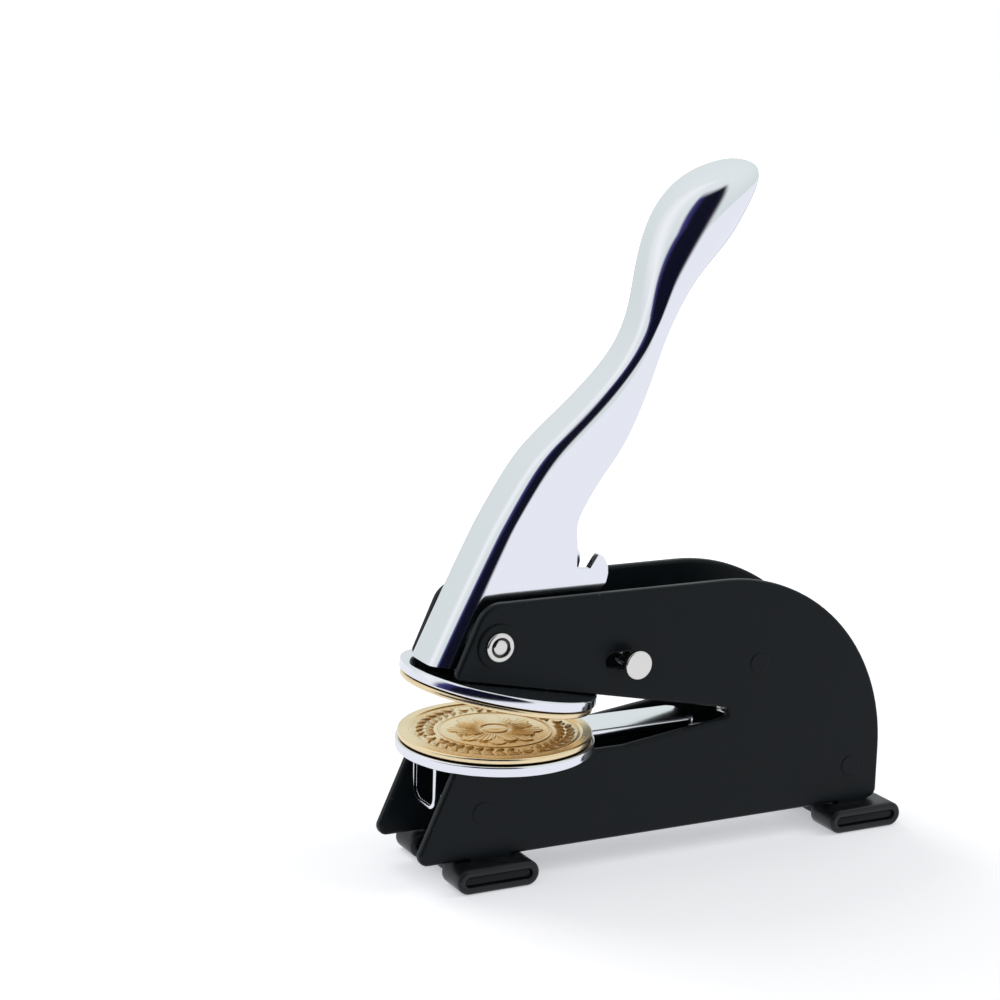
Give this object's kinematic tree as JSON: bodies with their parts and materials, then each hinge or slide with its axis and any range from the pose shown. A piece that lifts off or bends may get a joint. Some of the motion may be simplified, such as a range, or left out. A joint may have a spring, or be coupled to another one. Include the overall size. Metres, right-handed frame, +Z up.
{
  "type": "seal embosser",
  "caption": "Desk seal embosser with two black side plates, a chrome lever handle, and two round brass dies that press paper between them.",
  "frame": {"origin": "bottom centre of the bounding box at rest, on the table under the rubber feet", "axes": "+Z up, the mouth and the dies face -Y, +X out of the side plate that carries the lock pin"},
  "size_m": [0.0512, 0.143, 0.1802],
  "materials": {
    "black_enamel": "satin",
    "bright_chrome": "polished",
    "brass": "polished",
    "steel": "satin",
    "spring_steel": "satin",
    "nickel": "polished",
    "bronze": "satin",
    "black_rubber": "matte",
    "black_plastic": "matte"
  },
  "bodies": {
    "frame": {"side_plate_near": "black_enamel", "side_plate_far": "black_enamel", "frame_rivets": "black_enamel", "front_spacers": "steel", "rear_spacers": "steel", "leaf_block": "black_enamel", "leaf_clamp": "steel", "leaf_screws": "nickel", "die_leaf": "spring_steel", "lower_die_arm": "bright_chrome", "lower_die": "brass", "lower_die_screw": "nickel", "front_foot_bar": "black_enamel", "rear_foot_bar": "black_enamel", "front_foot_sleeve": "black_rubber", "rear_foot_sleeve": "black_rubber", "pivot_pin": "nickel", "pivot_washers": "black_enamel", "handle_spacers": "steel", "lock_bush": "black_plastic"},
    "lever": {"handle": "bright_chrome", "press_cam": "steel", "cam_pin": "nickel", "pivot_bush": "bronze"},
    "upper_jaw": {"upper_die_holder": "bright_chrome", "upper_die": "brass", "die_rivets": "nickel"},
    "lock": {"lock_pin": "nickel"}
  },
  "joints": [
    {"name": "handle_hinge", "type": "hinge", "parent": "frame", "child": "lever", "pos_m": [0, -0.05108, 0.0619], "axis": [-1, 0, 0], "range_deg": [0, 48.8]},
    {"name": "die_swing", "type": "hinge", "parent": "frame", "child": "upper_jaw", "pos_m": [0, 0.00252, 0.0416], "axis": [1, 0, 0], "range_deg": [0, 11.4], "stiffness_Nm_per_rad": 6, "springref_deg": -5.73, "deforming": ["die_leaf"]},
    {"name": "lock_slide", "type": "slide", "parent": "frame", "child": "lock", "axis": [-1, 0, 0], "range_m": [0, 0.0039]}
  ],
  "couplings": [
    {"joint": "die_swing", "follows": "handle_hinge", "ratio": 0.2336}
  ]
}
